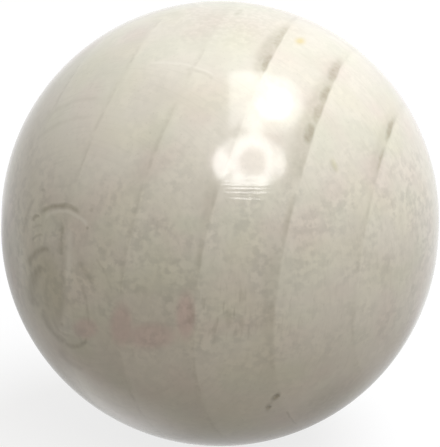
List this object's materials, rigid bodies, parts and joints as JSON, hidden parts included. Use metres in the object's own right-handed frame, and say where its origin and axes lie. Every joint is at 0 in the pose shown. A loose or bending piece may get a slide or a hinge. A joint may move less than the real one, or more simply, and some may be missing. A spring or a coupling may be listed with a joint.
{
  "type": "wooden ball",
  "caption": "Small solid ball turned from pale beech and clear lacquered, a plain blank for crafts, knobs, feet and games.",
  "frame": {"origin": "middle of the ball", "axes": "+Z along the grain of the wood, +X away from the heart of the log, -Y towards the side that the picture shows"},
  "size_m": [0.025, 0.025, 0.0254],
  "materials": {
    "lacquered_wood": "gloss"
  },
  "bodies": {
    "root": {"ball": "lacquered_wood"}
  },
  "joints": []
}
